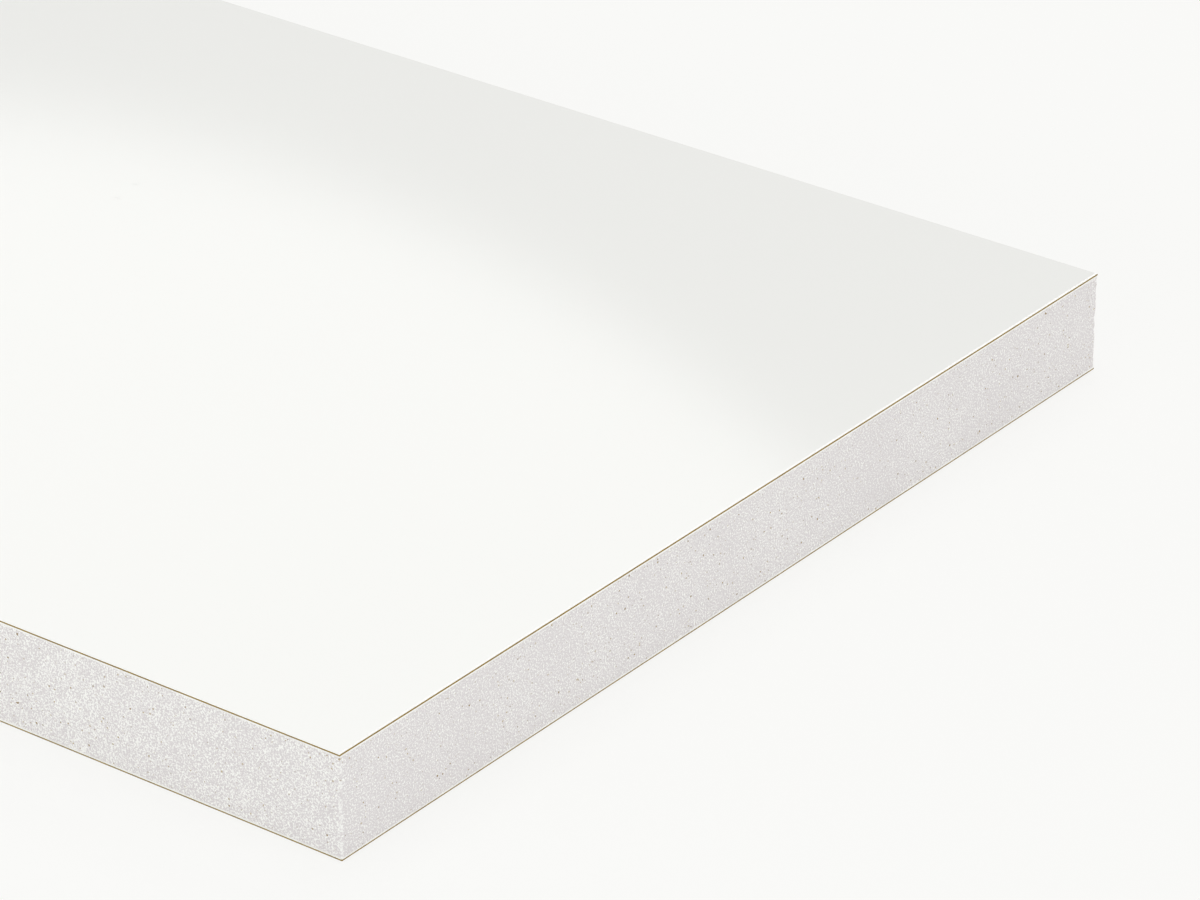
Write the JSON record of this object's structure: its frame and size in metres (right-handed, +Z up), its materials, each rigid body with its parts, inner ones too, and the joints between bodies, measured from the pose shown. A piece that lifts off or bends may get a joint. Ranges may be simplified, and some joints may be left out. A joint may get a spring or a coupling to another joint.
{
  "type": "fire-resistant board",
  "caption": "Rigid fire-resistant building board: square-cut mineral core with a thin white laminate sheet bonded over each face.",
  "frame": {"origin": "middle of the underside, on the outer face of the back laminate", "axes": "+X along the board's length, +Y across its width, +Z up through its thickness"},
  "size_m": [1.2, 0.2, 0.018],
  "materials": {
    "mineral_core": "sawn, fine-grained, matt pinkish grey with pale grains and a few tan flecks",
    "laminate": "smooth satin white outside; tan kraft backing shows at the cut edge"
  },
  "bodies": {
    "root": {"core": "mineral_core", "face_laminate": "laminate", "back_laminate": "laminate"}
  },
  "joints": []
}
